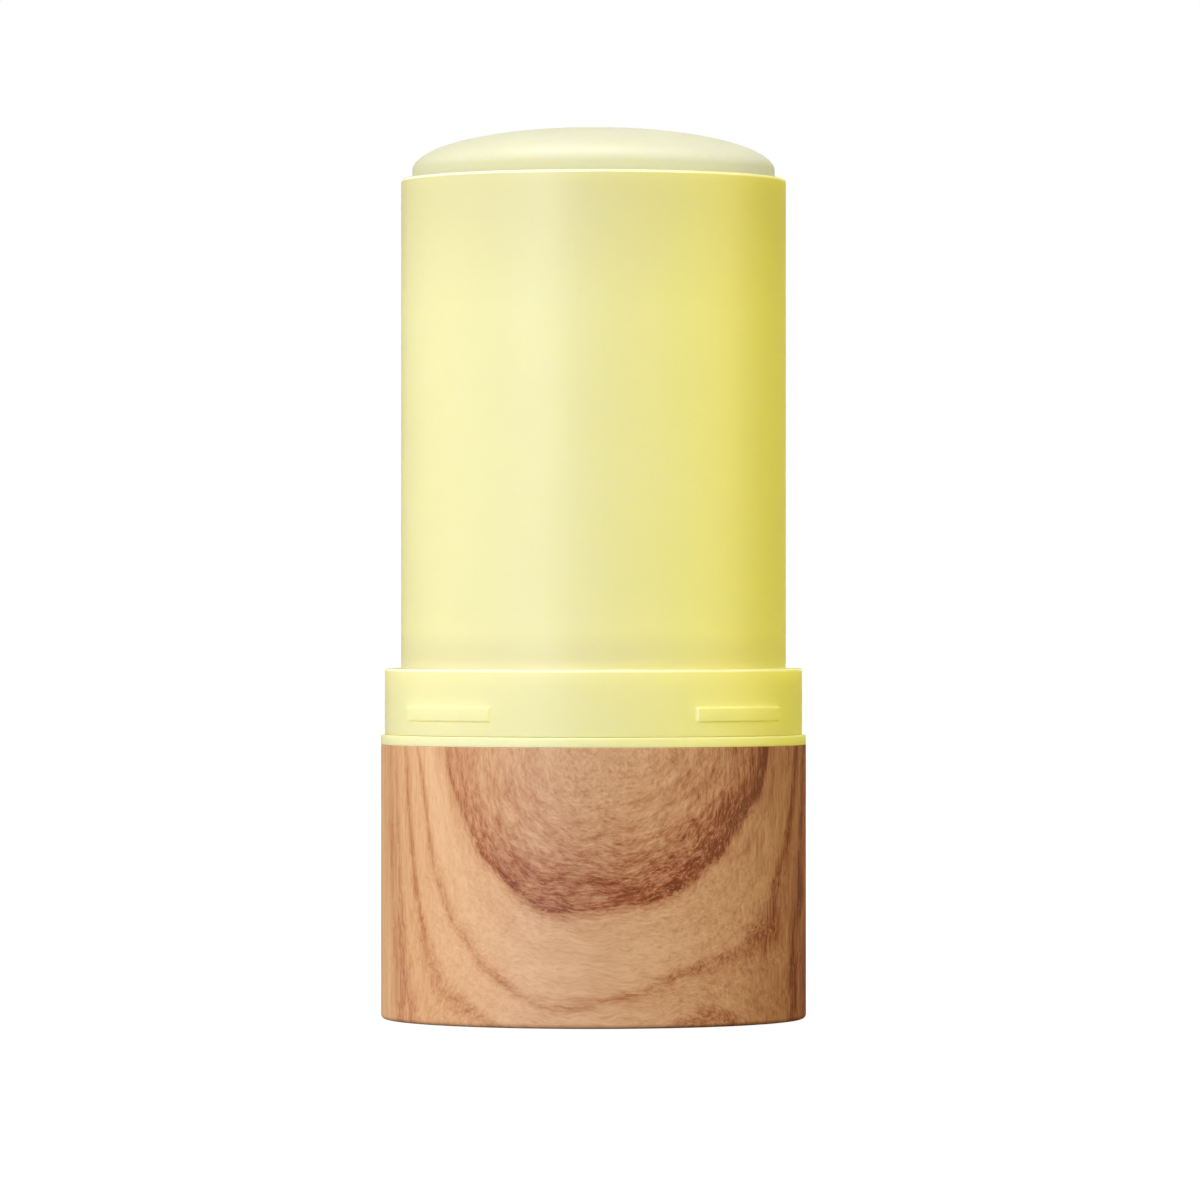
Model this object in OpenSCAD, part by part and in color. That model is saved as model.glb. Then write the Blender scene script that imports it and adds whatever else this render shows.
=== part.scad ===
// Twist-up sunscreen stick: a wooden turning base, a plastic barrel with a collar for the cap,
// and a lead screw that drives an elevator with the stick of sunscreen on it.
// Millimetres, +Z up, origin at the middle of the base's underside.

/* [Stick] */
// Diameter of the stick of sunscreen
stick_d = 29; // [26:0.5:34]
// Height of the domed top above the stick's straight side
dome_h = 3.4; // [2:0.1:5]
// How far the stick is raised from its lowest place
raised = 4.7; // [3:0.1:8]
// How far the dome lies below the rim when the stick is lowered
tuck = 0.6; // [0.2:0.1:2]
// Sunscreen between the tip of the lead screw and the dome
cover = 3; // [2.5:0.1:5]

/* [Barrel] */
// Thickness of the barrel's wall
barrel_wall = 0.8; // [0.7:0.05:1.2]
// Height of the barrel above its collar
barrel_h = 39.1; // [34:0.1:50]
// Rounding of the rim's outer edge
rim_edge = 0.25; // [0.15:0.05:0.35]
// Gap between the stick and the barrel's bore
stick_gap = 0.1; // [0.05:0.05:0.2]
// Number of guide ribs in the bore
rib_count = 4; // [3:1:6]
// Width of a guide rib
rib_w = 1.2; // [0.8:0.1:1.6]
// How far a guide rib stands out of the bore
rib_out = 0.6; // [0.4:0.1:0.8]

/* [Collar] */
// How far the collar stands out of the barrel
collar_step = 1.3; // [1.2:0.05:1.8]
// Height of the collar and its running gap
collar_h = 5.3; // [5:0.1:8]
// Thickness of the collar's wall
collar_wall = 1.1; // [0.9:0.05:1.2]
// Thickness of the shoulder between collar and barrel
shoulder = 1.2; // [0.9:0.1:1.4]
// Rounding of the collar's top edge
collar_edge = 0.2; // [0.1:0.05:0.4]
// Number of snap beads that hold the cap
bead_count = 4; // [3:1:6]
// Angle that one snap bead covers
bead_arc = 32; // [20:1:44]
// Height of a snap bead
bead_h = 1.1; // [0.8:0.1:1.4]
// How far a snap bead stands out of the collar
bead_out = 0.2; // [0.15:0.05:0.4]
// Height of the snap beads above the lip
bead_lift = 1.2; // [0.8:0.05:2]

/* [Base] */
// How far the lip and the wood stand out of the collar
lip_step = 0.3; // [0.2:0.05:0.6]
// Height of the lip
lip_h = 0.8; // [0.5:0.1:1.5]
// Rounding of the lip's top edge
lip_edge = 0.15; // [0.05:0.05:0.2]
// Height of the wooden base
base_h = 21.9; // [20:0.1:28]
// Thickness of the wooden wall
wood_wall = 1.5; // [1.2:0.1:1.8]
// Thickness of the wooden floor
wood_floor = 2.5; // [1.5:0.1:4]
// Rounding of the wood's bottom edge
foot_edge = 0.35; // [0.1:0.05:0.5]

/* [Core of the base] */
// Thickness of the core's sleeve in the wood
core_wall = 1.2; // [0.9:0.1:1.6]
// Thickness of the core's neck in the collar
neck_wall = 1.4; // [1.2:0.1:1.8]
// Distance from the wood's top edge down to the core's floor
web_drop = 2.9; // [2:0.1:4]
// Thickness of the core's floor
web_h = 1.4; // [1:0.1:2]
// Radius of the boss that holds the screw's foot
boss_r = 4.8; // [4.4:0.1:6]
// Length of that boss below the core's floor
boss_h = 6; // [5.5:0.1:8]
// Number of gussets round the boss, and of centring ribs on the sleeve
gusset_count = 6; // [3:1:10]
// Thickness of a gusset
gusset_w = 1; // [0.8:0.1:1.4]

/* [Lead screw] */
// Radius of the thread's crest
crest_r = 3.5; // [3.2:0.1:3.8]
// Depth of the thread
thread_h = 0.9; // [0.6:0.05:1]
// Rise of the elevator in one turn of the base
lead = 5; // [4:0.5:8]
// Width of the thread's crest
crest_w = 1.1; // [0.8:0.05:1.4]
// Width of one of the thread's flanks
flank_w = 0.7; // [0.5:0.05:0.8]
// Clearance all round the thread in its nut
thread_gap = 0.25; // [0.25:0.05:0.35]
// Radius of the flange that stands on the core's floor
flange_r = 6; // [5:0.1:8]
// Thickness of that flange
flange_h = 1.2; // [0.8:0.1:1.6]
// Radius over the corners of the hexagonal foot
hex_r = 3.1; // [2.8:0.1:3.4]

/* [Elevator] */
// Thickness of the elevator's deck
deck_h = 1.2; // [0.8:0.1:2]
// Height of the elevator's skirt
skirt_h = 4.4; // [4:0.1:7]
// Thickness of the skirt
skirt_wall = 1.3; // [1.2:0.1:1.8]
// Outer radius of the nut
nut_r = 5; // [4.8:0.1:6]
// Length of the nut below the top of the deck
nut_down = 8.2; // [7:0.1:9]
// Height of the nut above the deck
nut_up = 1.6; // [0.8:0.1:3]
// Thread that the nut still grips when it is fully raised
grip = 4.4; // [4:0.1:6]
// Height by which the guide ribs still hold the elevator when it is fully raised
rib_hold = 2.3; // [1.5:0.1:2.5]
// Diameter of the holes in the deck that key the sunscreen
key_d = 3; // [2:0.1:3.6]
// Number of those holes
key_count = 6; // [3:1:8]

/* [Hidden] */
$fn = 64;

// Fits between pieces
glue_gap = 0.05; // wood and core, screw foot and socket, stick and elevator
part_gap = 0.1; // collar and lip
run_gap = 0.1; // neck and collar, rib and notch, snap and groove
lift_gap = 0.2; // lowered elevator and the foot of the bore
slack = 0.15; // ends that must not touch
bite = 0.2; // how far joined shapes run into each other
past = 1; // how far a cut runs out of the shape

// Radii, from the stick outwards
stick_r = stick_d / 2;
bore_r = stick_r + stick_gap;
barrel_r = bore_r + barrel_wall;
collar_r = barrel_r + collar_step;
base_r = collar_r + lip_step;
collar_bore_r = collar_r - collar_wall;
neck_r = collar_bore_r - run_gap;
neck_bore_r = neck_r - neck_wall;
wood_bore_r = base_r - wood_wall;
centring_out = 0.3;
core_r = wood_bore_r - glue_gap - centring_out;
core_bore_r = core_r - core_wall;

// Levels, from the floor upwards
lip_top = base_h + lip_h;
collar_top = lip_top + collar_h;
rim_top = collar_top + barrel_h;
bore_bottom = collar_top - shoulder;
neck_top = bore_bottom - slack;
core_bottom = wood_floor + 2 * slack;
web_top = base_h - web_drop;
web_bottom = web_top - web_h;
boss_bottom = web_bottom - boss_h;
flange_top = web_top + flange_h;
gusset_step = 1; // from a gusset's end to the end of the boss or skirt that it braces

// Snap that holds the collar on the neck
snap_lift = 1.3;
snap_z = lip_top + snap_lift;
snap_h = 0.9;
snap_slope = 0.25;
snap_out = 0.17;

// Elevator and stick
lowest_deck = bore_bottom + lift_gap + skirt_h;
deck_top = lowest_deck + raised;
lowest_shoulder = rim_top - tuck - dome_h;
shoulder_top = lowest_shoulder + raised;
elevator_r = bore_r - run_gap;
screw_top = lowest_shoulder - cover;
highest_deck = screw_top - grip + nut_down;
rib_top = highest_deck - skirt_h + rib_hold;
notch_r = bore_r - rib_out - run_gap;
notch_w = rib_w + 2 * run_gap;
key_circle_r = (nut_r + elevator_r - skirt_wall) / 2;

// Thread, its run below the lowered nut, and the plain stem and tip
root_r = crest_r - thread_h;
run_out = 1;
thread_bottom = lowest_deck - nut_down - run_out;
slices_per_turn = 22;
stem_step = 0.3;
stem_r = root_r - stem_step;
tip_h = 0.9;

// Points of a round of radius r about the centre c, from angle a to angle b
function round_points(c, r, a, b, steps = 6) = [for (i = [0:steps]) c + polar(r, a + (b - a) * i / steps)];

function polar(r, a) = [r * cos(a), r * sin(a)];

// Outline of the snap from bottom to top, standing on radius r and grown by gap
function snap_points(r, gap) = [
    [r, snap_z - snap_h / 2 - gap],
    [collar_bore_r + snap_out + gap, snap_z - snap_h / 2 + snap_slope - gap],
    [collar_bore_r + snap_out + gap, snap_z + gap],
    [r, snap_z + snap_h / 2 + gap]
];

function backwards(points) = [for (i = [len(points) - 1:-1:0]) points[i]];

// Section of a single-start thread square to its axis, where a whole turn stands for one lead of height
function thread_section(root, crest, crest_w) =
    let (
        crest_a = 180 * crest_w / lead,
        root_a = crest_a + 360 * flank_w / lead,
        middle = (root + crest) / 2,
        middle_a = (crest_a + root_a) / 2
    )
    concat(
        round_points([0, 0], crest, -crest_a, crest_a, 3),
        [polar(middle, middle_a)],
        round_points([0, 0], root, root_a, 360 - root_a, 7),
        [polar(middle, -middle_a)]
    );

// Left-hand thread between two levels, in step with every other one, grown by gap on all sides
module thread(bottom, top, gap = 0) {
    turns = (top - bottom) / lead;
    translate([0, 0, bottom])
        rotate([0, 0, -360 * bottom / lead])
            linear_extrude(height = top - bottom, twist = 360 * turns,
                    slices = ceil(turns * slices_per_turn), segments = 0)
                polygon(thread_section(root_r + gap, crest_r + gap, crest_w + 2 * gap));
}

module around(count, start = 0) {
    for (i = [0:count - 1])
        rotate([0, 0, start + i * 360 / count])
            children();
}

// Turned wooden cup that the hand twists
module wood_base() {
    top_edge = 0.08;
    color("#dba679")
        rotate_extrude()
            polygon(concat(
                [[0, 0]],
                round_points([base_r - foot_edge, foot_edge], foot_edge, -90, 0),
                [[base_r, base_h - top_edge], [base_r - top_edge, base_h], [wood_bore_r, base_h]],
                [[wood_bore_r, wood_floor], [0, wood_floor]]
            ));
}

// Moulded core that lines the wood, ends in the lip, and carries the barrel on its neck
module base_core() {
    neck_slope = 0.2;
    gusset_h = boss_h - gusset_step;
    centring_foot = 1;
    centring_head = 3;
    centring_bottom = core_bottom + centring_foot;
    centring_top = base_h - centring_head;
    color("#eeea8c")
        difference() {
            union() {
                rotate_extrude()
                    polygon(concat(
                        [[neck_bore_r, neck_top], [neck_bore_r, web_top], [0, web_top], [0, boss_bottom]],
                        [[boss_r, boss_bottom], [boss_r, web_bottom], [core_bore_r, web_bottom]],
                        [[core_bore_r, core_bottom], [core_r, core_bottom]],
                        [[core_r, base_h], [base_r, base_h]],
                        round_points([base_r - lip_edge, lip_top - lip_edge], lip_edge, 0, 90),
                        [[neck_r, lip_top]],
                        snap_points(neck_r, 0),
                        [[neck_r, neck_top - neck_slope], [neck_r - neck_slope, neck_top]]
                    ));
                around(gusset_count)
                    translate([boss_r - bite, -gusset_w / 2, web_bottom - gusset_h])
                        cube([core_bore_r - boss_r + 2 * bite, gusset_w, gusset_h + bite]);
                around(gusset_count, 180 / gusset_count)
                    translate([core_r - bite, -gusset_w / 2, centring_bottom])
                        cube([centring_out + bite, gusset_w, centring_top - centring_bottom]);
            }
            translate([0, 0, boss_bottom - past])
                cylinder(r = hex_r + glue_gap, h = web_top - boss_bottom + 2 * past, $fn = 6);
        }
}

// Lead screw: split hexagonal foot with two barbs, flange, stem, thread and tip
module lead_screw() {
    foot_bottom = boss_bottom - slack;
    flat_r = hex_r * cos(30);
    barb_h = 1.4;
    barb_w = 2.4;
    barb_out = 0.35;
    slot_w = 0.9;
    slot_h = boss_h + barb_h;
    color("white")
        difference() {
            union() {
                translate([0, 0, foot_bottom - bite])
                    cylinder(r = hex_r, h = web_top - foot_bottom + 2 * bite, $fn = 6);
                rotate([90, 0, 90])
                    linear_extrude(height = barb_w, center = true)
                        polygon([
                            [flat_r - bite, foot_bottom - barb_h], [flat_r + barb_out, foot_bottom - bite],
                            [flat_r + barb_out, foot_bottom], [-flat_r - barb_out, foot_bottom],
                            [-flat_r - barb_out, foot_bottom - bite], [bite - flat_r, foot_bottom - barb_h]
                        ]);
                translate([0, 0, web_top])
                    cylinder(r = flange_r, h = flange_h);
                translate([0, 0, flange_top - bite])
                    cylinder(r = stem_r, h = thread_bottom - flange_top + 2 * bite);
                thread(thread_bottom, screw_top - tip_h);
                translate([0, 0, screw_top - tip_h - bite])
                    cylinder(r1 = stem_r, r2 = stem_r - bite, h = tip_h + bite);
            }
            translate([-hex_r - past, -slot_w / 2, foot_bottom - barb_h - past])
                cube([2 * (hex_r + past), slot_w, slot_h + past]);
        }
}

// Snap bead with a sloped top for the cap to ride over
module snap_bead() {
    bead_bottom = lip_top + bead_lift;
    bead_top = bead_bottom + bead_h;
    rotate([0, 0, -bead_arc / 2])
        rotate_extrude(angle = bead_arc)
            polygon([
                [collar_r - bite, bead_bottom], [collar_r + bead_out, bead_bottom],
                [collar_r + bead_out, bead_top - bead_out / 2], [collar_r + bead_out / 2, bead_top],
                [collar_r - bite, bead_top]
            ]);
}

// Rib with sloped ends that keeps the elevator from turning
module guide_rib() {
    rib_bottom = bore_bottom + slack;
    translate([0, rib_w / 2, 0])
        rotate([90, 0, 0])
            linear_extrude(height = rib_w)
                polygon([
                    [bore_r - rib_out, rib_bottom + rib_out], [bore_r, rib_bottom],
                    [bore_r + bite, rib_bottom], [bore_r + bite, rib_top],
                    [bore_r, rib_top], [bore_r - rib_out, rib_top - rib_out]
                ]);
}

// Barrel and collar in one moulding
module barrel() {
    inner_edge = 0.15;
    mouth = 0.15;
    collar_bottom = lip_top + part_gap;
    color("#f3ecac") {
        rotate_extrude()
            polygon(concat(
                [[collar_bore_r + mouth, collar_bottom], [collar_r, collar_bottom]],
                round_points([collar_r - collar_edge, collar_top - collar_edge], collar_edge, 0, 90),
                [[barrel_r, collar_top]],
                round_points([barrel_r - rim_edge, rim_top - rim_edge], rim_edge, 0, 90),
                round_points([bore_r + inner_edge, rim_top - inner_edge], inner_edge, 90, 180),
                [[bore_r, bore_bottom], [collar_bore_r, bore_bottom]],
                backwards(snap_points(collar_bore_r, run_gap)),
                [[collar_bore_r, collar_bottom + mouth]]
            ));
        around(rib_count)
            guide_rib();
        around(bead_count, 180 / bead_count)
            snap_bead();
    }
}

// Perforated deck with a guided skirt and the nut that climbs the screw
module elevator() {
    deck_bottom = deck_top - deck_h;
    skirt_bottom = deck_top - skirt_h;
    nut_bottom = deck_top - nut_down;
    nut_top = deck_top + nut_up;
    skirt_bore_r = elevator_r - skirt_wall;
    gusset_h = skirt_h - deck_h - gusset_step;
    color("#f7f5ea")
        difference() {
            union() {
                rotate_extrude()
                    polygon([
                        [0, nut_bottom], [nut_r, nut_bottom],
                        [nut_r, deck_bottom], [skirt_bore_r, deck_bottom],
                        [skirt_bore_r, skirt_bottom], [elevator_r, skirt_bottom], [elevator_r, deck_top],
                        [nut_r, deck_top], [nut_r, nut_top], [0, nut_top]
                    ]);
                around(key_count)
                    translate([nut_r - bite, -gusset_w / 2, deck_bottom - gusset_h])
                        cube([skirt_bore_r - nut_r + 2 * bite, gusset_w, gusset_h + bite]);
            }
            around(rib_count)
                translate([notch_r, -notch_w / 2, skirt_bottom - past])
                    cube([elevator_r, notch_w, skirt_h + 2 * past]);
            around(key_count, 180 / key_count)
                translate([key_circle_r, 0, deck_bottom - past])
                    cylinder(d = key_d, h = deck_h + 2 * past);
            thread(nut_bottom - past, nut_top + past, thread_gap);
        }
}

// Cast stick with its domed top, keyed through the deck, and hollow round the screw
module sunscreen_stick() {
    dome_steps = 16;
    key_foot = 0.4;
    color("#f2f0cf")
        difference() {
            union() {
                rotate_extrude()
                    polygon(concat(
                        [[0, deck_top], [stick_r, deck_top]],
                        [for (i = [0:dome_steps]) let (a = 90 * i / dome_steps)
                            [stick_r * cos(a), shoulder_top + dome_h * sin(a)]]
                    ));
                around(key_count, 180 / key_count)
                    translate([key_circle_r, 0, deck_top - deck_h - key_foot])
                        cylinder(d = key_d - 2 * glue_gap, h = deck_h + key_foot + bite);
            }
            around(rib_count)
                translate([notch_r, -notch_w / 2, deck_top - past])
                    cube([stick_r, notch_w, rib_top + raised + run_gap - deck_top + past]);
            translate([0, 0, deck_top - past])
                cylinder(r = nut_r + glue_gap, h = nut_up + glue_gap + past);
            translate([0, 0, deck_top])
                cylinder(r = crest_r + slack, h = screw_top + raised + slack - deck_top);
        }
}

wood_base();
base_core();
lead_screw();
barrel();
elevator();
sunscreen_stick();
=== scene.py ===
"""Look of the twist-up sunscreen stick: its turned pieces, their finishes, the studio and the camera."""

import math

import bpy
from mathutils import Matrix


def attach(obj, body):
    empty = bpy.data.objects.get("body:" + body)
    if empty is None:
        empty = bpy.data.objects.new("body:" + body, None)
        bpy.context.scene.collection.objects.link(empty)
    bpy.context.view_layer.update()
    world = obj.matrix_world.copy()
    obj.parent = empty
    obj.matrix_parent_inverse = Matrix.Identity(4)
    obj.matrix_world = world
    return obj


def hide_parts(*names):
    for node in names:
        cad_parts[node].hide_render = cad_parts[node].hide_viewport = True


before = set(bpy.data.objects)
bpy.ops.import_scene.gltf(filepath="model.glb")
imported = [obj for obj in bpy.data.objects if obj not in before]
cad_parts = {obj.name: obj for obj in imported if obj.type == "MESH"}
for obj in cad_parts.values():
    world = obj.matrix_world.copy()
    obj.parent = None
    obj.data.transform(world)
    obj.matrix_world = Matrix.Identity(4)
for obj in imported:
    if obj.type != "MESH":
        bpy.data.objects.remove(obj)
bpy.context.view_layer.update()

MM = 0.001

# Radii and heights in millimetres, as in the part
STICK_R = 14.5
BORE_R = 14.6
BARREL_R = 15.4
COLLAR_BORE_R = 15.6
COLLAR_R = 16.7
BASE_R = 17.0
WOOD_BORE_R = 15.5
WOOD_FLOOR = 2.5
NECK_R = 15.5
NECK_BORE_R = 14.1
BASE_H = 21.9
LIP_TOP = BASE_H + 0.8
COLLAR_TOP = LIP_TOP + 5.3
RIM_TOP = COLLAR_TOP + 39.1
BORE_BOTTOM = COLLAR_TOP - 1.2
DECK_TOP = BORE_BOTTOM + 9.3
DOME_H = 3.4
SHOULDER_TOP = RIM_TOP + 0.7

# Core of the base
CORE_R = 15.15
CORE_BORE_R = 13.95
CORE_BOTTOM = 2.8
WEB_TOP = BASE_H - 2.9
WEB_BOTTOM = WEB_TOP - 1.4
BOSS_R = 4.8
SOCKET_R = 3.15
BOSS_BOTTOM = WEB_BOTTOM - 6.0
GUSSET_COUNT = 6
GUSSET_W = 1.0
GUSSET_STEP = 1
CENTRING_OUT = 0.3
CENTRING_FOOT = 1
CENTRING_HEAD = 3
BITE = 0.1

# Snap between neck and collar
SNAP_Z = LIP_TOP + 1.3
SNAP_OUT = 0.17
SNAP_GROOVE_R = COLLAR_BORE_R + 0.27

# The parting line under the collar, finer than the part's running gap, as the photograph shows it
PARTING = 0.02

# Snap beads on the collar and guide ribs in the bore
BEADS = (45, 135, 225, 315)
BEAD_HALF = 16.0
BEAD_LOW = LIP_TOP + 1.2
BEAD_HIGH = BEAD_LOW + 1.1
BEAD_OUT = 0.2
RIBS = (0, 90, 180, 270)
RIB_HALF_W = 0.6
RIB_MIDDLE_R = 14.3
RIB_HALF = math.degrees(RIB_HALF_W / RIB_MIDDLE_R)
RIB_LOW = BORE_BOTTOM + 0.15
RIB_HIGH = 61.8
RIB_OUT = 0.6

# Grooves that the guide ribs leave in the cast stick
GROOVE_DEPTH = 0.7
GROOVE_HALF = RIB_HALF + 0.4
GROOVE_TOP = RIB_HIGH + 4.8

# Camera and lamps, in metres, and the tilt in degrees
EYE = (0.00052, -0.617, 0.03233)
TILT = 0.104
LENS = 231.2
AIM = (0, 0, 0.036)


# Turned shapes


def corner_arc(before, corner, after, radius, steps=6):
    """Points that round one corner of an outline with a true arc."""
    ax, ay = before[0] - corner[0], before[1] - corner[1]
    bx, by = after[0] - corner[0], after[1] - corner[1]
    la, lb = math.hypot(ax, ay), math.hypot(bx, by)
    ax, ay, bx, by = ax / la, ay / la, bx / lb, by / lb
    half = math.acos(max(-1.0, min(1.0, ax * bx + ay * by))) / 2
    if radius <= 0 or half > math.radians(88):
        return [corner]
    reach = min(radius / math.tan(half), 0.49 * la, 0.49 * lb)
    radius = reach * math.tan(half)
    mx, my = ax + bx, ay + by
    lm = math.hypot(mx, my)
    cx = corner[0] + mx / lm * radius / math.sin(half)
    cy = corner[1] + my / lm * radius / math.sin(half)
    start = math.atan2(corner[1] + ay * reach - cy, corner[0] + ax * reach - cx)
    end = math.atan2(corner[1] + by * reach - cy, corner[0] + bx * reach - cx)
    turn = (end - start + math.pi) % (2 * math.pi) - math.pi
    return [
        (cx + radius * math.cos(start + turn * i / steps), cy + radius * math.sin(start + turn * i / steps))
        for i in range(steps + 1)
    ]


def rounded(corners, closed):
    """An outline of (radius, height, rounding) corners as a list of (radius, height) points."""
    points = []
    count = len(corners)
    for i, (r, z, rounding) in enumerate(corners):
        if not closed and i in (0, count - 1):
            points.append((r, z))
            continue
        before, after = corners[i - 1], corners[(i + 1) % count]
        points += corner_arc(before[:2], (r, z), after[:2], rounding)
    return points


def held(points, closed, inset=0.05):
    """Adds a point near both ends of each long stretch, which keeps the shading of flats flat."""
    out = []
    count = len(points)
    for i in range(count if closed else count - 1):
        (r0, z0), (r1, z1) = points[i], points[(i + 1) % count]
        out.append((r0, z0))
        length = math.hypot(r1 - r0, z1 - z0)
        if length > 4 * inset:
            for s in (inset / length, 1 - inset / length):
                out.append((r0 + (r1 - r0) * s, z0 + (z1 - z0) * s))
    if not closed:
        out.append(points[-1])
    return out


def between(points, r, heights):
    """Adds rows at given heights to the upright stretch at radius r."""
    out = []
    for i, (r0, z0) in enumerate(points):
        out.append((r0, z0))
        r1, z1 = points[(i + 1) % len(points)]
        if abs(r0 - r) < 0.001 and abs(r1 - r) < 0.001:
            inside = [z for z in heights if min(z0, z1) + 0.02 < z < max(z0, z1) - 0.02]
            out += [(r, z) for z in sorted(inside, reverse=z1 < z0)]
    return out


def turned(name, points, closed, angles, radius_at=None):
    """Mesh of an outline turned about Z through sorted angles. radius_at may move a point in or out."""
    verts, rows, faces = [], [], []
    turns = [(math.cos(math.radians(a)), math.sin(math.radians(a))) for a in angles]
    for r, z in points:
        if r < 1e-6:
            rows.append([len(verts)])
            verts.append((0, 0, z * MM))
            continue
        rows.append(list(range(len(verts), len(verts) + len(angles))))
        for a, (cosine, sine) in zip(angles, turns):
            reach = radius_at(r, z, a) if radius_at else r
            verts.append((reach * MM * cosine, reach * MM * sine, z * MM))
    count = len(angles)
    for i in range(len(rows) if closed else len(rows) - 1):
        a, b = rows[i], rows[(i + 1) % len(rows)]
        for j in range(count):
            k = (j + 1) % count
            if len(a) == 1:
                faces.append((a[0], b[k], b[j]))
            elif len(b) == 1:
                faces.append((a[j], a[k], b[0]))
            else:
                faces.append((a[j], a[k], b[k], b[j]))
    mesh = bpy.data.meshes.new(name)
    mesh.from_pydata(verts, [], faces)
    mesh.shade_smooth()
    obj = bpy.data.objects.new(name, mesh)
    bpy.context.collection.objects.link(obj)
    return obj


def even(count):
    return [360 * i / count for i in range(count)]


def with_edges(angles, centres, half, spread=(-0.5, -0.25, -0.1, 0, 0.1, 0.25, 0.5)):
    """Angles with extra columns at both edges of raised patches centred on some angles."""
    extra = [(c + side * half + s) % 360 for c in centres for side in (-1, 1) for s in spread]
    kept = [a for a in angles if all(abs((a - e + 180) % 360 - 180) > 0.12 for e in extra)]
    return sorted(kept + extra)


def step_up(x, edge, width):
    """0 below the edge, 1 above it, and a smooth rise across its width."""
    t = max(0.0, min(1.0, (x - edge) / width + 0.5))
    return t * t * (3 - 2 * t)


def patch(x, low, high, width):
    return step_up(x, low, width) * (1 - step_up(x, high, width))


def near_angle(a, centres):
    """Smallest turn in degrees from an angle to one of the centres."""
    return min(abs((a - c + 180) % 360 - 180) for c in centres)


# Ribs that repeat round the axis, as a tree of geometry nodes


def rib_ring_tree():
    """Adds a ring of upright ribs round Z to a mesh. All its sizes are inputs, in metres and radians."""
    tree = bpy.data.node_groups.new("rib_ring", "GeometryNodeTree")
    face = tree.interface
    face.new_socket("Geometry", in_out="INPUT", socket_type="NodeSocketGeometry")
    face.new_socket("Count", in_out="INPUT", socket_type="NodeSocketInt")
    for name in ("Start", "Inner", "Outer", "Width", "Bottom", "Top"):
        face.new_socket(name, in_out="INPUT", socket_type="NodeSocketFloat")
    face.new_socket("Material", in_out="INPUT", socket_type="NodeSocketMaterial")
    face.new_socket("Geometry", in_out="OUTPUT", socket_type="NodeSocketGeometry")
    given = tree.nodes.new("NodeGroupInput").outputs
    radius = calc(tree, "MULTIPLY", calc(tree, "ADD", given["Inner"], given["Outer"]), 0.5)
    length = calc(tree, "SUBTRACT", given["Outer"], given["Inner"])
    height = calc(tree, "SUBTRACT", given["Top"], given["Bottom"])
    middle = calc(tree, "MULTIPLY", calc(tree, "ADD", given["Top"], given["Bottom"]), 0.5)
    ring = add(tree, "GeometryNodeMeshCircle", {"Vertices": given["Count"], "Radius": radius})
    turn = add(tree, "ShaderNodeCombineXYZ", {"Z": given["Start"]})
    lift = add(tree, "ShaderNodeCombineXYZ", {"Z": middle})
    placed = add(
        tree, "GeometryNodeTransform",
        {"Geometry": ring.outputs[0], "Translation": lift.outputs[0], "Rotation": turn.outputs[0]},
    )
    size = add(tree, "ShaderNodeCombineXYZ", {"X": length, "Y": given["Width"], "Z": height})
    rib = add(tree, "GeometryNodeMeshCube", {"Size": size.outputs[0]})
    spot = add(tree, "GeometryNodeInputPosition").outputs[0]
    outward = add(tree, "ShaderNodeVectorMath", {0: spot, 1: (1, 1, 0)}, operation="MULTIPLY").outputs[0]
    facing = add(tree, "FunctionNodeAlignRotationToVector", {"Vector": outward}, axis="X")
    ribs = add(
        tree, "GeometryNodeInstanceOnPoints",
        {"Points": placed.outputs[0], "Instance": rib.outputs["Mesh"], "Rotation": facing.outputs[0]},
    )
    both = tree.nodes.new("GeometryNodeJoinGeometry")
    tree.links.new(ribs.outputs[0], both.inputs[0])
    tree.links.new(given["Geometry"], both.inputs[0])
    real = add(tree, "GeometryNodeRealizeInstances", {"Geometry": both.outputs[0]})
    dressed = add(
        tree, "GeometryNodeSetMaterial",
        {"Geometry": real.outputs[0], "Material": given["Material"]},
    )
    out = tree.nodes.new("NodeGroupOutput")
    tree.links.new(dressed.outputs[0], out.inputs[0])
    return tree


def grown(obj, tree, rings, material):
    """Runs the tree once for each ring of sizes and keeps the result as a plain mesh."""
    keys = {item.name: item.identifier for item in tree.interface.items_tree if item.in_out == "INPUT"}
    for sizes in rings:
        modifier = obj.modifiers.new("ribs", "NODES")
        modifier.node_group = tree
        for name, value in sizes.items():
            modifier[keys[name]] = value
        modifier[keys["Material"]] = material
    shown = obj.evaluated_get(bpy.context.evaluated_depsgraph_get())
    mesh = bpy.data.meshes.new_from_object(shown)
    obj.modifiers.clear()
    obj.data = mesh
    return obj


# Pieces


def barrel_radius(r, z, a):
    """Raises the snap beads on the collar and the guide ribs in the bore."""
    if abs(r - COLLAR_R) < 0.02 and LIP_TOP + 0.4 < z < COLLAR_TOP - 0.3:
        across = patch(BEAD_HALF - near_angle(a, BEADS), 0, 99, 0.42)
        return r + BEAD_OUT * across * patch(z, BEAD_LOW, BEAD_HIGH, 0.13)
    if abs(r - BORE_R) < 0.02 and BORE_BOTTOM < z < RIM_TOP - 1:
        across = patch(RIB_HALF - near_angle(a, RIBS), 0, 99, 0.25)
        slope = min(1, max(0, (z - RIB_LOW) / RIB_OUT), max(0, (RIB_HIGH - z) / RIB_OUT))
        return r - RIB_OUT * across * slope
    return r


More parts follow.
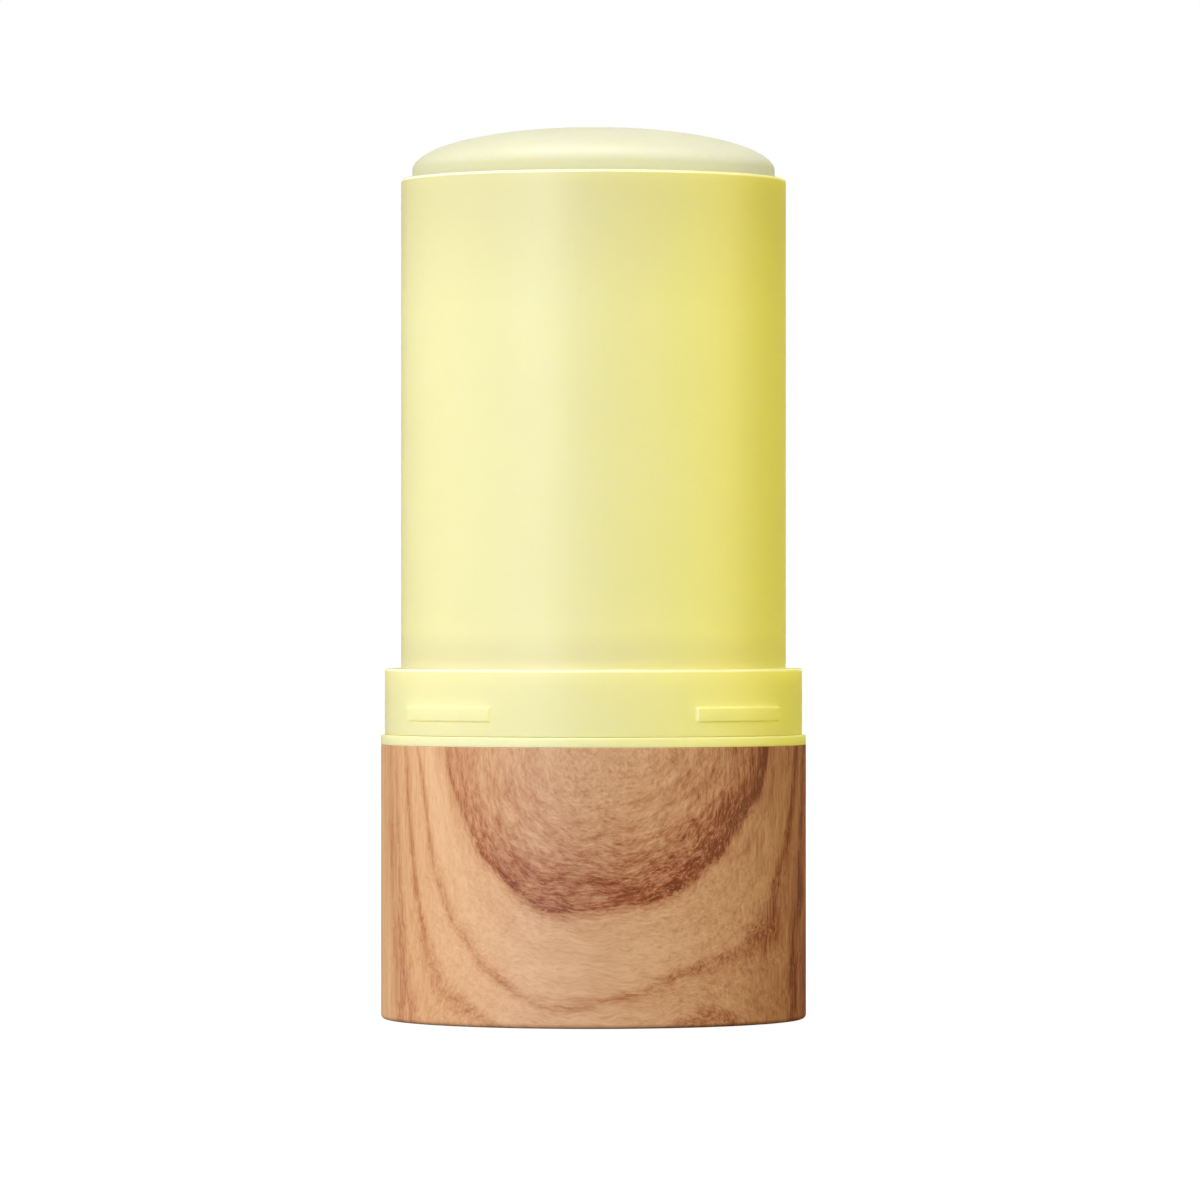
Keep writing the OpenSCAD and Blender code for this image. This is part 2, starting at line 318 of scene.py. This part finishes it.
def make_barrel():
    bottom = LIP_TOP + PARTING
    corners = [
        (COLLAR_BORE_R + 0.15, bottom, 0.03), (COLLAR_R, bottom, 0.06),
        (COLLAR_R, COLLAR_TOP, 0.2), (BARREL_R, COLLAR_TOP, 0.1),
        (BARREL_R, RIM_TOP, 0.25), (BORE_R, RIM_TOP, 0.15),
        (BORE_R, BORE_BOTTOM, 0.05), (COLLAR_BORE_R, BORE_BOTTOM, 0.05),
        (COLLAR_BORE_R, SNAP_Z + 0.55, 0.05), (SNAP_GROOVE_R, SNAP_Z + 0.1, 0.05),
        (SNAP_GROOVE_R, SNAP_Z - 0.3, 0.05), (COLLAR_BORE_R, SNAP_Z - 0.55, 0.05),
        (COLLAR_BORE_R, bottom + 0.15, 0.03),
    ]
    points = held(rounded(corners, True), True)
    edge = (-0.12, -0.065, -0.03, 0, 0.03, 0.065, 0.12)
    points = between(points, COLLAR_R, [z + e for z in (BEAD_LOW, BEAD_HIGH) for e in edge])
    points = between(points, BORE_R, [RIB_LOW, RIB_LOW + RIB_OUT, RIB_HIGH - RIB_OUT, RIB_HIGH])
    angles = with_edges(even(240), BEADS, BEAD_HALF)
    angles = with_edges(angles, RIBS, RIB_HALF, (-0.2, -0.1, 0, 0.1, 0.2))
    return turned("barrel_moulding", points, True, angles, barrel_radius)


def make_wooden_base():
    corners = [
        (0, 0, 0), (BASE_R, 0, 0.35), (BASE_R, BASE_H, 0.08), (WOOD_BORE_R, BASE_H, 0.05),
        (WOOD_BORE_R, WOOD_FLOOR, 0.3), (0, WOOD_FLOOR, 0),
    ]
    return turned("wooden_base", held(rounded(corners, False), False), False, even(240))


def make_core(material):
    """Core with its boss, lip, neck and snap, and with its rings of gussets and centring ribs."""
    snap_r = COLLAR_BORE_R + SNAP_OUT
    neck_top = BORE_BOTTOM - 0.15
    corners = [
        (SOCKET_R, BOSS_BOTTOM, 0), (BOSS_R, BOSS_BOTTOM, 0.1), (BOSS_R, WEB_BOTTOM, 0.2),
        (CORE_BORE_R, WEB_BOTTOM, 0.2), (CORE_BORE_R, CORE_BOTTOM, 0.1), (CORE_R, CORE_BOTTOM, 0.1),
        (CORE_R, BASE_H, 0.05), (BASE_R, BASE_H, 0.05), (BASE_R, LIP_TOP, 0.17), (NECK_R, LIP_TOP, 0.05),
        (NECK_R, SNAP_Z - 0.45, 0.02), (snap_r, SNAP_Z - 0.2, 0.02), (snap_r, SNAP_Z, 0.02),
        (NECK_R, SNAP_Z + 0.45, 0.02), (NECK_R, neck_top - 0.2, 0.05), (NECK_R - 0.2, neck_top, 0.05),
        (NECK_BORE_R, neck_top, 0.1), (NECK_BORE_R, WEB_TOP, 0.2), (SOCKET_R, WEB_TOP, 0.05),
    ]

    def hexagonal(r, z, a):
        if r < SOCKET_R + 0.1:
            return r * math.cos(math.pi / 6) / math.cos(math.radians(a % 60 - 30))
        return r

    core = turned("core_with_lip", held(rounded(corners, True), True), True, even(240), hexagonal)
    gussets = {
        "Count": GUSSET_COUNT, "Start": 0.0, "Width": GUSSET_W * MM,
        "Inner": (BOSS_R - BITE) * MM, "Outer": (CORE_BORE_R + BITE) * MM,
        "Bottom": (BOSS_BOTTOM + GUSSET_STEP) * MM, "Top": (WEB_BOTTOM + BITE) * MM,
    }
    centring = {
        "Count": GUSSET_COUNT, "Start": math.pi / GUSSET_COUNT, "Width": GUSSET_W * MM,
        "Inner": (CORE_R - BITE) * MM, "Outer": (CORE_R + CENTRING_OUT) * MM,
        "Bottom": (CORE_BOTTOM + CENTRING_FOOT) * MM, "Top": (BASE_H - CENTRING_HEAD) * MM,
    }
    return grown(core, rib_ring_tree(), (gussets, centring), material)


def make_sunscreen():
    """Cast stick: grooves for the guide ribs, and a dome that is half an ellipse in section."""
    steps = 40
    slants = [math.pi / 2 * i / steps for i in range(steps)]
    dome = [(STICK_R * math.cos(t), SHOULDER_TOP + DOME_H * math.sin(t)) for t in slants]
    points = [(0, DECK_TOP), (STICK_R - 0.2, DECK_TOP), (STICK_R, DECK_TOP + 0.2)]
    points += [(STICK_R, GROOVE_TOP + lift) for lift in (-0.05, -0.01, 0.01, 0.05)]
    points += dome + [(0, SHOULDER_TOP + DOME_H)]

    def grooved(r, z, a):
        if r > STICK_R - 0.3 and z < GROOVE_TOP:
            return r - GROOVE_DEPTH * patch(GROOVE_HALF - near_angle(a, RIBS), 0, 99, 0.3)
        return r

    angles = with_edges(even(240), RIBS, GROOVE_HALF, (-0.2, -0.1, 0, 0.1, 0.2))
    return turned("sunscreen_cast", points, False, angles, grooved)


# Finishes


def rgb(r, g, b):
    """Linear colour with alpha from 8-bit sRGB values."""

    def linear(v):
        v /= 255
        return v / 12.92 if v <= 0.04045 else ((v + 0.055) / 1.055) ** 2.4

    return (linear(r), linear(g), linear(b), 1)


def feed(tree, socket, value):
    if isinstance(value, bpy.types.NodeSocket):
        tree.links.new(value, socket)
    else:
        socket.default_value = value


def add(tree, kind, inputs=None, **settings):
    node = tree.nodes.new(kind)
    for name, value in settings.items():
        setattr(node, name, value)
    for key, value in (inputs or {}).items():
        feed(tree, node.inputs[key], value)
    return node


def calc(tree, operation, *values):
    return add(tree, "ShaderNodeMath", dict(enumerate(values)), operation=operation).outputs[0]


def remap(tree, value, from_low, from_high, to_low=0.0, to_high=1.0, kind="LINEAR"):
    inputs = {0: value, 1: from_low, 2: from_high, 3: to_low, 4: to_high}
    return add(tree, "ShaderNodeMapRange", inputs, interpolation_type=kind).outputs[0]


def noise(tree, vector, scale, detail=2.0, roughness=0.5):
    inputs = {"Vector": vector, "Scale": scale, "Detail": detail, "Roughness": roughness}
    return add(tree, "ShaderNodeTexNoise", inputs).outputs[0]


def mix(tree, factor, a, b, blend="MIX"):
    inputs = {0: factor, 6: a, 7: b}
    return add(tree, "ShaderNodeMix", inputs, data_type="RGBA", blend_type=blend).outputs[2]


def ramp(tree, factor, stops):
    node = add(tree, "ShaderNodeValToRGB", {0: factor})
    marks = node.color_ramp.elements
    while len(marks) < len(stops):
        marks.new(0.5)
    for mark, (place, value) in zip(marks, stops):
        mark.position = place
        mark.color = value if isinstance(value, tuple) else (value, value, value, 1)
    return node.outputs[0]


def vector(tree, x, y, z=0.0):
    return add(tree, "ShaderNodeCombineXYZ", {0: x, 1: y, 2: z}).outputs[0]


def millimetres(tree):
    """Object coordinates in millimetres."""
    place = add(tree, "ShaderNodeTexCoord").outputs["Object"]
    inputs = {0: place, 1: (1000, 1000, 1000)}
    return add(tree, "ShaderNodeVectorMath", inputs, operation="MULTIPLY").outputs[0]


def bump(tree, height, strength, distance_mm):
    inputs = {"Height": height, "Strength": strength, "Distance": distance_mm * MM}
    return add(tree, "ShaderNodeBump", inputs).outputs[0]


def finish(name):
    """A new material, its tree and its shader."""
    material = bpy.data.materials.new(name)
    material.use_nodes = True
    return material, material.node_tree, material.node_tree.nodes["Principled BSDF"]


def frosted_plastic(name, colour, deep, through, reach_mm, roughness):
    """Satin moulded plastic with a fine frosted skin.

    By height, painted shade deepens its tone towards the barrel's rim and at its foot above the collar's
    ledge, and painted highlights make it pale at the top edges of rim and collar.
    """
    material, tree, shader = finish(name)
    place = millimetres(tree)
    height = add(tree, "ShaderNodeSeparateXYZ", {0: place}).outputs[2]
    cloud = noise(tree, place, 0.09, 2.0)
    skin = noise(tree, place, 5.5, 3.0, 0.6)
    tone = mix(tree, remap(tree, cloud, 0.3, 0.7), colour, deep)
    # Painted shade: the tone darkens over the top 10 mm below the rim.
    rim_painted_shade = remap(tree, height, RIM_TOP - 11, RIM_TOP - 1)
    tone = mix(tree, rim_painted_shade, tone, (0.885, 0.87, 0.90, 1), "MULTIPLY")
    # Painted shade in the corner above the collar's ledge: the tone darkens there, and the same mask lowers
    # the subsurface weight.
    from_ledge = calc(tree, "SUBTRACT", height, COLLAR_TOP)
    corner = calc(
        tree, "MULTIPLY",
        remap(tree, from_ledge, -0.02, 0.0), remap(tree, from_ledge, 0.2, 3.4, 1.0, 0.0, "SMOOTHSTEP"),
    )
    tone = mix(tree, corner, tone, (0.83, 0.82, 0.92, 1), "MULTIPLY")
    # Painted highlight: a pale line just below the top edges of rim and collar.
    for edge in (RIM_TOP, COLLAR_TOP):
        below = calc(tree, "SUBTRACT", edge, height)
        edge_painted_highlight = calc(tree, "MULTIPLY", remap(tree, below, 0.26, 0.20), remap(tree, below, 0.01, 0.04))
        tone = mix(tree, edge_painted_highlight, tone, rgb(255, 253, 228))
    feed(tree, shader.inputs["Base Color"], tone)
    feed(tree, shader.inputs["Roughness"], remap(tree, skin, 0.3, 0.7, roughness - 0.04, roughness + 0.04))
    feed(tree, shader.inputs["Normal"], bump(tree, skin, 0.25, 0.012))
    shader.subsurface_method = "BURLEY"
    shader.inputs["IOR"].default_value = 1.47
    feed(tree, shader.inputs["Subsurface Weight"], remap(tree, corner, 0.0, 1.0, through, 0.2 * through))
    shader.inputs["Subsurface Radius"].default_value = reach_mm
    shader.inputs["Subsurface Scale"].default_value = MM
    return material


def sunscreen_wax():
    """Smooth cast wax, a little see-through, with faint clouding and the soft skin of a poured top."""
    material, tree, shader = finish("sunscreen_wax")
    place = millimetres(tree)
    cloud = noise(tree, place, 0.16, 3.0)
    skin = noise(tree, place, 1.6, 3.0, 0.55)
    colour = mix(tree, remap(tree, cloud, 0.3, 0.7), rgb(245, 243, 218), rgb(242, 239, 210))
    feed(tree, shader.inputs["Base Color"], colour)
    feed(tree, shader.inputs["Roughness"], remap(tree, skin, 0.3, 0.7, 0.34, 0.46))
    feed(tree, shader.inputs["Normal"], bump(tree, skin, 0.2, 0.02))
    shader.inputs["IOR"].default_value = 1.44
    shader.inputs["Subsurface Weight"].default_value = 0.7
    shader.inputs["Subsurface Radius"].default_value = (3.0, 2.8, 1.4)
    shader.inputs["Subsurface Scale"].default_value = MM
    return material


# Wood rings: how they drop below the lip at the front, and how they bend inwards from there
PITH_SIDE = 1.0
DROP_REACH = 8.9
DROP_FADE = 3.05
DROP_SLOPE = 0.305
SIDE_LEAN = 0.03
FRONT_FADE = 98.0
DEPTH_SLOPE = 0.39
DEPTH_CURVE = 0.0106
RING_POWER = 3.45
FINE_POWER = 2.8
ALONG = 12.0

# Darkness of the rings up to the size RINGS_END, and of one ring of those that repeat beyond it
RINGS_END = 20.0
FIGURE = [
    (0.0, 0.24), (0.25, 0.26), (0.36, 0.32), (0.46, 0.42), (0.54, 0.54), (0.60, 0.70),
    (0.632, 0.84), (0.645, 0.34), (0.66, 0.20), (0.70, 0.10), (0.737, 0.16), (0.750, 0.52),
    (0.760, 0.18), (0.79, 0.16), (0.803, 0.56), (0.815, 0.26), (0.832, 0.24), (0.848, 0.48),
    (0.875, 0.50), (0.895, 0.24), (1.0, 0.14),
]
LATER_RING = 2.7
LATER_FIGURE = [(0.0, 0.14), (0.45, 0.18), (0.75, 0.36), (0.88, 0.58), (0.94, 0.60), (1.0, 0.14)]


def oval(tree, side, rise, power):
    """Size of the oval, with corners rounded by its power, that passes through a point."""
    sides = calc(tree, "POWER", calc(tree, "ABSOLUTE", side), power)
    rises = calc(tree, "POWER", calc(tree, "MAXIMUM", rise, 0.0), power)
    return calc(tree, "POWER", calc(tree, "ADD", sides, rises), 1 / power)


def wood_rings(tree, place, sway):
    """Size of the growth ring at a point, places along and across its grain, and the point's place.

    The pith meets the front just under the lip and bends into the wood. Each ring then reaches the
    front as an arch that hangs from the lip, and the sides and back as upright lines.
    """
    x, y, z = add(tree, "ShaderNodeSeparateXYZ", {0: place}).outputs
    side = calc(tree, "ADD", x, remap(tree, sway, 0.3, 0.7, -0.3, 0.3))
    side = calc(tree, "SUBTRACT", side, PITH_SIDE)
    depth = calc(tree, "ADD", y, BASE_R)
    down = calc(tree, "MAXIMUM", calc(tree, "SUBTRACT", BASE_H, z), 0.0)
    bend = calc(tree, "SUBTRACT", 1.0, calc(tree, "EXPONENT", calc(tree, "DIVIDE", down, -DROP_FADE)))
    drop = calc(tree, "MULTIPLY_ADD", bend, DROP_REACH, calc(tree, "MULTIPLY", down, DROP_SLOPE))
    drop = calc(tree, "MULTIPLY_ADD", side, SIDE_LEAN, drop)
    squared = calc(tree, "POWER", depth, 2.0)
    near = calc(tree, "EXPONENT", calc(tree, "DIVIDE", squared, -FRONT_FADE))
    slope = calc(tree, "MULTIPLY", depth, DEPTH_SLOPE)
    inward = calc(tree, "MULTIPLY_ADD", squared, DEPTH_CURVE, slope)
    ring = oval(tree, side, calc(tree, "MULTIPLY_ADD", drop, near, inward), RING_POWER)
    fine_rise = calc(tree, "MULTIPLY_ADD", down, near, slope)
    across = oval(tree, side, fine_rise, FINE_POWER)
    along = calc(tree, "MULTIPLY", calc(tree, "ARCTAN2", fine_rise, side), ALONG)
    return ring, along, across, down, x, y


def satin_wood():
    """Light hardwood under a satin varnish. The grain is solid, so it runs over the edges too."""
    material, tree, shader = finish("satin_wood")
    place = millimetres(tree)
    sway = noise(tree, place, 0.07, 2.0)
    wobble = noise(tree, place, 0.13, 1.0, 0.5)
    ring, along, across, down, x, y = wood_rings(tree, place, sway)
    ring = calc(tree, "ADD", ring, remap(tree, wobble, 0.3, 0.7, -0.15, 0.15))
    figure = ramp(tree, calc(tree, "DIVIDE", ring, RINGS_END), FIGURE)
    past = calc(tree, "SUBTRACT", ring, RINGS_END)
    later = ramp(tree, calc(tree, "FRACT", calc(tree, "DIVIDE", past, LATER_RING)), LATER_FIGURE)
    beyond = remap(tree, ring, 19.9, 20.1)
    tone = calc(tree, "MULTIPLY_ADD", beyond, calc(tree, "SUBTRACT", later, figure), figure)
    heart = calc(tree, "MAXIMUM", calc(tree, "SUBTRACT", tone, 0.3), 0.0)
    tone = calc(tree, "MULTIPLY_ADD", heart, remap(tree, down, 1.0, 10.0, -0.4, 0.0), tone)
    wave = noise(tree, place, 0.4, 1.0)
    across = calc(tree, "ADD", across, remap(tree, wave, 0.3, 0.7, -0.25, 0.25))
    fibre_place = vector(tree, across, calc(tree, "MULTIPLY", along, 0.17), y)
    fibre = noise(tree, fibre_place, 4.2, 5.0, 0.72)
    streak = noise(tree, fibre_place, 1.2, 4.0, 0.65)
    lines = noise(tree, vector(tree, ring, calc(tree, "MULTIPLY", along, 0.03)), 1.5, 3.0, 0.6)
    pore = noise(tree, fibre_place, 7.0, 3.0, 0.6)
    to_the_right = remap(tree, x, -6.0, 8.0, 0.0, 0.3)
    strength = calc(tree, "ADD", remap(tree, tone, 0.15, 0.65, 0.45, 0.85), to_the_right)
    for part, reach in ((lines, 0.16), (streak, 0.2), (fibre, 0.34)):
        high = calc(tree, "MULTIPLY", strength, reach)
        low = calc(tree, "MULTIPLY", high, -1.0)
        tone = calc(tree, "ADD", tone, remap(tree, part, 0.3, 0.7, low, high))
    speckle = calc(tree, "MULTIPLY", strength, 0.34)
    # Painted shade: the wood darkens towards its +x side, the right as the camera sees it, and more at that
    # edge.
    tone = calc(tree, "ADD", tone, remap(tree, x, 5.0, 17.0, 0.0, 0.42))
    tone = calc(tree, "ADD", tone, remap(tree, x, 15.0, 16.8, 0.0, 0.16))
    colour = ramp(
        tree, tone,
        [
            (0.0, rgb(239, 192, 151)), (0.15, rgb(231, 181, 140)), (0.3, rgb(222, 170, 128)),
            (0.5, rgb(207, 149, 110)), (0.85, rgb(168, 94, 57)), (1.0, rgb(132, 65, 33)),
        ],
    )
    colour = mix(tree, remap(tree, pore, 0.55, 0.68, 0.0, speckle), colour, rgb(240, 196, 156))
    colour = mix(tree, remap(tree, pore, 0.45, 0.32, 0.0, speckle), colour, rgb(150, 88, 54))
    feed(tree, shader.inputs["Base Color"], colour)
    feed(tree, shader.inputs["Roughness"], remap(tree, fibre, 0.3, 0.7, 0.44, 0.56))
    feed(tree, shader.inputs["Normal"], bump(tree, fibre, 0.35, 0.03))
    shader.inputs["IOR"].default_value = 1.45
    return material


def dress(obj, material):
    obj.data.materials.clear()
    obj.data.materials.append(material)


# The object

LEMON = frosted_plastic("lemon_plastic", rgb(247, 242, 186), rgb(246, 241, 182), 0.6, (3.0, 2.6, 0.8), 0.42)
LIP = frosted_plastic("lip_plastic", rgb(255, 251, 198), rgb(255, 250, 192), 0.5, (2.0, 1.8, 0.6), 0.40)
WHITE = frosted_plastic("white_plastic", rgb(236, 234, 226), rgb(232, 230, 220), 0.2, (1.0, 1.0, 0.9), 0.45)
WAX = sunscreen_wax()
WOOD = satin_wood()

BASE = make_wooden_base()
CORE = make_core(LIP)
BARREL = make_barrel()
SUNSCREEN = make_sunscreen()

for piece, node, body, slot, material in (
    (BASE, "wood_base", "turning_base", "wood", WOOD),
    (CORE, "base_core", "turning_base", "lip_plastic", LIP),
    (BARREL, "barrel", "barrel_body", "barrel_plastic", LEMON),
    (SUNSCREEN, "sunscreen_stick", "stick_body", "sunscreen", WAX),
):
    dress(piece, material)
    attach(piece, body)
    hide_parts(node)

for node in ("lead_screw", "elevator"):
    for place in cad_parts[node].material_slots:
        place.material = WHITE


# Floor, light and camera


def white_for_sight(tree):
    """1 for rays that see the surroundings, 0 for rays that only gather light."""
    ray = add(tree, "ShaderNodeLightPath").outputs
    return calc(tree, "MAXIMUM", ray["Is Camera Ray"], ray["Is Transmission Ray"])


def make_floor():
    mesh = bpy.data.meshes.new("floor")
    half = 12
    corners = [(-half, -half, 0), (half, -half, 0), (half, half, 0), (-half, half, 0)]
    mesh.from_pydata(corners, [], [(0, 1, 2, 3)])
    floor = bpy.data.objects.new("floor", mesh)
    floor.location.z = -0.02 * MM
    bpy.context.collection.objects.link(floor)
    material = bpy.data.materials.new("white_table")
    material.use_nodes = True
    tree = material.node_tree
    tree.nodes.clear()
    table = add(tree, "ShaderNodeBsdfDiffuse", {"Color": (0.2, 0.2, 0.2, 1)})
    place = add(tree, "ShaderNodeTexCoord").outputs["Object"]
    away = add(tree, "ShaderNodeVectorMath", {0: place}, operation="LENGTH").outputs["Value"]
    strength = remap(tree, away, 0.1, 0.5, 0.96, 1.0)
    glow = add(tree, "ShaderNodeEmission", {"Color": (1, 1, 1, 1), "Strength": strength})
    thin = add(tree, "ShaderNodeBsdfDiffuse", {"Color": (0.16, 0.16, 0.16, 1)})
    sight = add(tree, "ShaderNodeAddShader", {0: glow.outputs[0], 1: thin.outputs[0]})
    shaders = {0: white_for_sight(tree), 1: table.outputs[0], 2: sight.outputs[0]}
    both = add(tree, "ShaderNodeMixShader", shaders)
    out = add(tree, "ShaderNodeOutputMaterial")
    tree.links.new(both.outputs[0], out.inputs[0])
    mesh.materials.append(material)


def make_surroundings(strength, colour):
    world = bpy.data.worlds.new("studio")
    bpy.context.scene.world = world
    world.use_nodes = True
    tree = world.node_tree
    tree.nodes.clear()
    soft = add(tree, "ShaderNodeBackground", {"Color": colour, "Strength": strength})
    seen = add(tree, "ShaderNodeBackground", {"Color": (1, 1, 1, 1), "Strength": 1.0})
    shaders = {0: white_for_sight(tree), 1: soft.outputs[0], 2: seen.outputs[0]}
    both = add(tree, "ShaderNodeMixShader", shaders)
    out = add(tree, "ShaderNodeOutputWorld")
    tree.links.new(both.outputs[0], out.inputs[0])


def make_lamp(name, place, size, power, colour=(1, 1, 1), mirrored=True, only=()):
    """Rectangular lamp aimed at AIM. It may leave no reflection, or light only some pieces."""
    lamp = bpy.data.lights.new(name, "AREA")
    lamp.shape = "RECTANGLE"
    lamp.size, lamp.size_y = size
    lamp.energy = power
    lamp.color = colour
    obj = bpy.data.objects.new(name, lamp)
    obj.location = place
    aim = [t - p for t, p in zip(AIM, place)]
    yaw = math.atan2(aim[1], aim[0]) - math.pi / 2
    pitch = math.atan2(aim[2], math.hypot(aim[0], aim[1])) + math.pi / 2
    obj.rotation_euler = (pitch, 0, yaw)
    obj.visible_glossy = mirrored
    bpy.context.collection.objects.link(obj)
    if only:
        lit = bpy.data.collections.new(name + "_pieces")
        for piece in only:
            lit.objects.link(piece)
        obj.light_linking.receiver_collection = lit


def make_camera():
    camera = bpy.data.cameras.new("camera")
    camera.lens = LENS
    camera.sensor_width = 36
    camera.clip_end = 50
    eye = bpy.data.objects.new("camera", camera)
    eye.location = EYE
    eye.rotation_euler = (math.pi / 2 + math.radians(TILT), 0, 0)
    bpy.context.collection.objects.link(eye)
    bpy.context.scene.camera = eye


make_floor()
make_surroundings(0.24, (1.0, 0.97, 0.48, 1))
PLAIN = (BASE, CORE, BARREL)
make_lamp("key_left", (-0.32, -0.55, 0.25), (0.30, 0.40), 3.55, (0.915, 0.925, 1.0), True, PLAIN)
make_lamp("side_left", (-0.61, 0.05, 0.18), (0.30, 0.40), 1.7, (1.0, 0.98, 0.88), False)
make_lamp("fill_right", (0.58, -0.10, 0.16), (0.40, 0.40), 1.4, (1.0, 0.78, 0.22), True, (CORE, BARREL))
make_lamp("fill_wood", (0.58, -0.10, 0.16), (0.40, 0.40), 1.45, (1.0, 0.74, 0.42), True, (BASE,))
make_lamp("top", (0.0, 0.05, 0.6), (0.35, 0.35), 0.5)
make_lamp("back", (0.12, 0.62, 0.25), (0.30, 0.40), 2.4, mirrored=False)
make_lamp("carried_light", (0.54, -0.25, 0.14), (0.40, 0.40), 1.2, (0.93, 1.0, 0.0), False, (BARREL, CORE))
make_lamp("dome_light", (0.05, -0.30, 0.58), (1.40, 0.35), 3.0, (0.74, 0.77, 1.0), False, (SUNSCREEN,))
make_lamp("rim_glow", (0.06, -0.60, 0.05), (1.60, 0.35), 4.3, (1.0, 0.98, 0.70), False, (SUNSCREEN,))
make_camera()
bpy.context.scene.view_settings.view_transform = "Standard"
